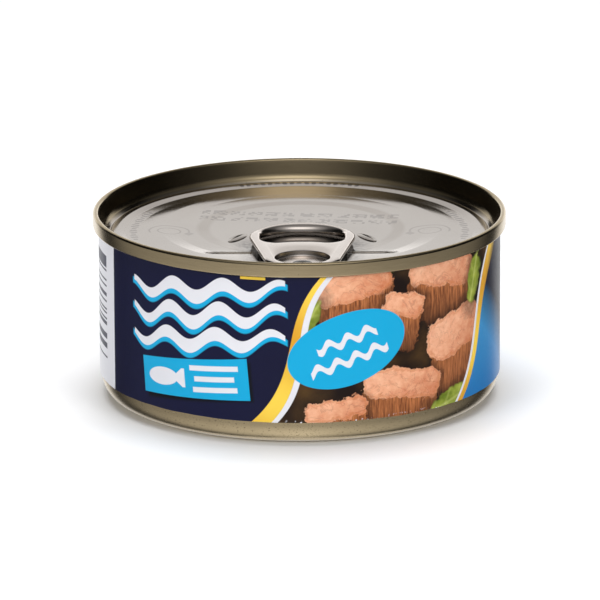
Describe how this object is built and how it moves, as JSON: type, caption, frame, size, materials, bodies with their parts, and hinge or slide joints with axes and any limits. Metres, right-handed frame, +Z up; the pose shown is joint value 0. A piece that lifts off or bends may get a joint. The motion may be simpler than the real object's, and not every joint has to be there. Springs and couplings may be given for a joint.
{
  "type": "tuna can",
  "caption": "Shut round food can with a drawn body, seamed easy-open end, pull tab and printed paper label.",
  "frame": {"origin": "centre of the flat ring that the can stands on", "axes": "+Z up through the can, -Y towards the nose of the pull tab and the front of the label"},
  "size_m": [0.087, 0.087, 0.0395],
  "materials": {
    "tinplate": "satin lacquered tinplate",
    "lacquered_end": "satin lacquered steel",
    "tab_metal": "satin",
    "printed_paper": "varnished printed paper"
  },
  "bodies": {
    "root": {"can_body": "tinplate", "lid": "lacquered_end", "pull_tab": "tab_metal", "label": "printed_paper"}
  },
  "joints": []
}
